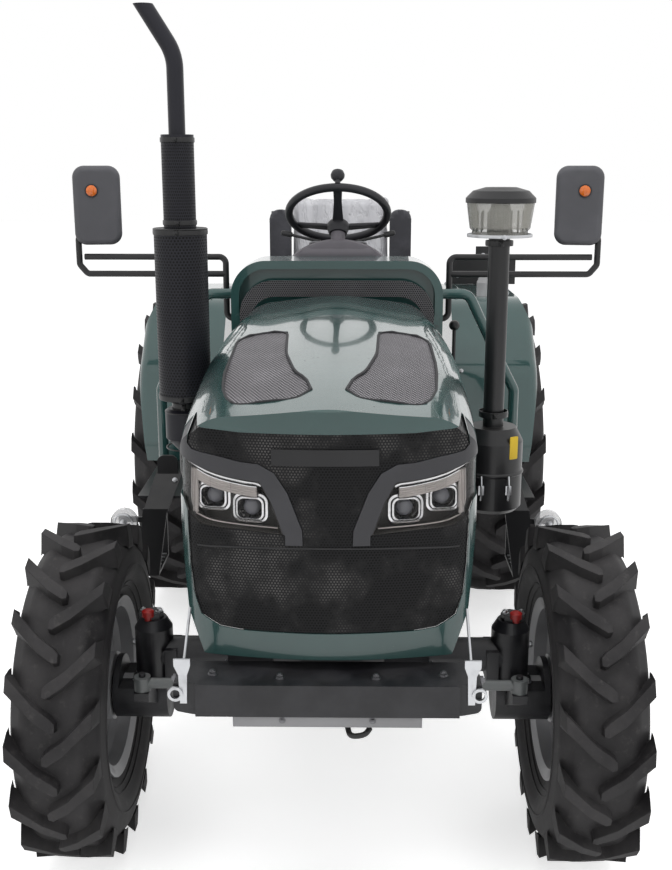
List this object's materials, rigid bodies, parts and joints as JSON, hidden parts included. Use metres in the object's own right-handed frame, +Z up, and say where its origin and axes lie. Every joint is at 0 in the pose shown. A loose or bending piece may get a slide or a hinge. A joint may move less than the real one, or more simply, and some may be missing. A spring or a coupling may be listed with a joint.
{
  "type": "compact farm tractor",
  "caption": "Open-platform four-wheel-drive farm tractor with lugged tyres, tilting hood, side exhaust, steered front axle and rear three-point lift.",
  "frame": {"origin": "on the ground, at the middle of the whole tractor's box", "axes": "+X forward, +Y to the driver's left, +Z up"},
  "size_m": [3.085, 1.7004, 2.0804],
  "materials": {
    "green_paint": "gloss",
    "black_paint": "satin",
    "chassis_paint": "satin",
    "grey_paint": "satin",
    "tyre_rubber": "matte",
    "black_mesh": "matte",
    "grey_trim": "matte",
    "lamp_glass": "clear",
    "red_lens": "clear",
    "grey_mesh": "matte",
    "clear_bowl": "clear",
    "black_plastic": "matte",
    "chrome_metal": "polished",
    "bare_steel": "satin",
    "iron_casting": "satin",
    "cooler_metal": "matte",
    "seat_cover": "matte"
  },
  "bodies": {
    "root": {"front_frame": "chassis_paint", "front_axle": "chassis_paint", "engine": "iron_casting", "engine_fittings": "black_paint", "radiator": "cooler_metal", "battery": "black_plastic", "fuel_tank": "black_plastic", "latches": "chrome_metal", "exhaust": "black_paint", "air_cleaner": "black_paint", "precleaner_bowl": "clear_bowl", "precleaner_cap": "black_plastic", "cowl": "green_paint", "cowl_mesh": "black_mesh", "dash": "grey_trim", "gearbox": "chassis_paint", "footboards": "black_paint", "fender_left": "green_paint", "fender_right": "green_paint", "grab_rails": "green_paint", "mirror_arms": "black_paint", "mirrors": "black_plastic", "seat_frame": "black_paint", "seat_cushion": "seat_cover", "seat_back": "seat_cover", "plate_bracket": "black_paint", "hitch_fittings": "black_paint", "skid_plate": "grey_paint", "rear_lamps": "red_lens", "marker_lamps": "lamp_glass", "levers": "black_paint"},
    "hood": {"hood": "green_paint", "grille": "black_mesh", "brow_trim": "grey_trim", "headlamp_left": "lamp_glass", "headlamp_right": "lamp_glass", "hood_vents": "grey_mesh"},
    "fan": {"fan": "black_plastic"},
    "left_knuckle": {"knuckle_left": "chassis_paint"},
    "right_knuckle": {"knuckle_right": "chassis_paint"},
    "track_rod": {"tie_rod": "black_paint"},
    "front_left_wheel": {"front_rim_left": "grey_paint", "front_tyre_left": "tyre_rubber"},
    "front_right_wheel": {"front_rim_right": "grey_paint", "front_tyre_right": "tyre_rubber"},
    "rear_left_wheel": {"rear_rim_left": "grey_paint", "rear_tyre_left": "tyre_rubber"},
    "rear_right_wheel": {"rear_rim_right": "grey_paint", "rear_tyre_right": "tyre_rubber"},
    "hand_wheel": {"steering_wheel": "black_plastic"},
    "lift_arms": {"lift_arms": "black_paint"},
    "left_lift_rod": {"lift_rod_left": "bare_steel"},
    "right_lift_rod": {"lift_rod_right": "bare_steel"},
    "left_lower_link": {"lower_link_left": "black_paint"},
    "right_lower_link": {"lower_link_right": "black_paint"},
    "top_link": {"top_link": "black_paint"},
    "pto_shaft": {"pto_shaft": "bare_steel"}
  },
  "joints": [
    {"name": "hood_open", "type": "hinge", "parent": "root", "child": "hood", "pos_m": [0.2505, 0, 1.216], "axis": [0, -1, 0], "range_deg": [0, 50]},
    {"name": "steer", "type": "hinge", "parent": "root", "child": "left_knuckle", "pos_m": [1.0425, 0.445, 0.41], "axis": [0, 0, 1], "range_deg": [-40, 40]},
    {"name": "steer_right", "type": "hinge", "parent": "root", "child": "right_knuckle", "pos_m": [1.0425, -0.445, 0.41], "axis": [0, 0, 1], "range_deg": [-40, 40]},
    {"name": "track_rod_pivot", "type": "hinge", "parent": "left_knuckle", "child": "track_rod", "pos_m": [1.2125, 0.445, 0.49961], "axis": [0, 0, 1], "range_deg": [-40, 40]},
    {"name": "hand_wheel_turn", "type": "hinge", "parent": "root", "child": "hand_wheel", "pos_m": [-0.172, 0, 1.53], "axis": [-0.5446, 0, 0.8387], "range_deg": [-540, 540]},
    {"name": "front_left_roll", "type": "hinge", "parent": "left_knuckle", "child": "front_left_wheel", "pos_m": [1.0425, 0.61, 0.4096], "axis": [0, 1, 0], "continuous": true},
    {"name": "front_right_roll", "type": "hinge", "parent": "right_knuckle", "child": "front_right_wheel", "pos_m": [1.0425, -0.61, 0.4096], "axis": [0, 1, 0], "continuous": true},
    {"name": "rear_left_roll", "type": "hinge", "parent": "root", "child": "rear_left_wheel", "pos_m": [-0.7525, 0.595, 0.57958], "axis": [0, 1, 0], "continuous": true},
    {"name": "rear_right_roll", "type": "hinge", "parent": "root", "child": "rear_right_wheel", "pos_m": [-0.7525, -0.595, 0.57958], "axis": [0, 1, 0], "continuous": true},
    {"name": "fan_spin", "type": "hinge", "parent": "root", "child": "fan", "pos_m": [1.078, 0, 0.89], "axis": [1, 0, 0], "continuous": true},
    {"name": "pto_spin", "type": "hinge", "parent": "root", "child": "pto_shaft", "pos_m": [-1.01, 0, 0.56], "axis": [1, 0, 0], "continuous": true},
    {"name": "lift", "type": "hinge", "parent": "root", "child": "lift_arms", "pos_m": [-0.94, 0, 0.915], "axis": [0, 1, 0], "range_deg": [-20, 35]},
    {"name": "left_rod_top", "type": "hinge", "parent": "lift_arms", "child": "left_lift_rod", "pos_m": [-1.18, 0.268, 0.915], "axis": [0, 1, 0], "range_deg": [-35, 20]},
    {"name": "right_rod_top", "type": "hinge", "parent": "lift_arms", "child": "right_lift_rod", "pos_m": [-1.18, -0.268, 0.915], "axis": [0, 1, 0], "range_deg": [-35, 20]},
    {"name": "left_link_pivot", "type": "hinge", "parent": "root", "child": "left_lower_link", "pos_m": [-0.972, 0.24, 0.43], "axis": [0, 1, 0], "range_deg": [-20, 35]},
    {"name": "right_link_pivot", "type": "hinge", "parent": "root", "child": "right_lower_link", "pos_m": [-0.972, -0.24, 0.43], "axis": [0, 1, 0], "range_deg": [-20, 35]},
    {"name": "top_link_pivot", "type": "hinge", "parent": "root", "child": "top_link", "pos_m": [-1.04, 0, 0.795], "axis": [0, 1, 0], "range_deg": [-30, 50]}
  ],
  "couplings": [
    {"joint": "steer_right", "follows": "steer", "ratio": 1},
    {"joint": "track_rod_pivot", "follows": "steer", "ratio": -1},
    {"joint": "hand_wheel_turn", "follows": "steer", "ratio": 13.5},
    {"joint": "left_rod_top", "follows": "lift", "ratio": -1},
    {"joint": "right_rod_top", "follows": "lift", "ratio": -1},
    {"joint": "left_link_pivot", "follows": "lift", "ratio": 1},
    {"joint": "right_link_pivot", "follows": "lift", "ratio": 1}
  ]
}
